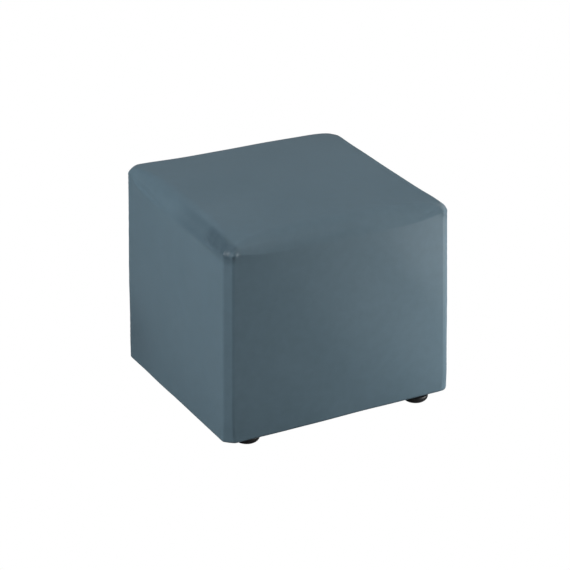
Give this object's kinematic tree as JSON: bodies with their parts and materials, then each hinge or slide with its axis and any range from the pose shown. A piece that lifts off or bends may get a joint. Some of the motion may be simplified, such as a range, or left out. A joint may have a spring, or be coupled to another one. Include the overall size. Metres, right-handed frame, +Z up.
{
  "type": "cube pouf stool",
  "caption": "Cube-shaped upholstered pouf stool with soft rounded edges, a seam up each corner and low round feet.",
  "frame": {"origin": "on the floor, under the middle of the stool", "axes": "+Z up; +X to the right along the wide front face; the front face looks towards -Y"},
  "size_m": [0.457, 0.443, 0.402],
  "materials": {
    "cover": "smooth matte slate blue-grey leatherette",
    "foot": "black moulded plastic, satin"
  },
  "bodies": {
    "root": {"seat_body": "cover", "foot_front_left": "foot", "foot_front_right": "foot", "foot_back_left": "foot", "foot_back_right": "foot"}
  },
  "joints": []
}
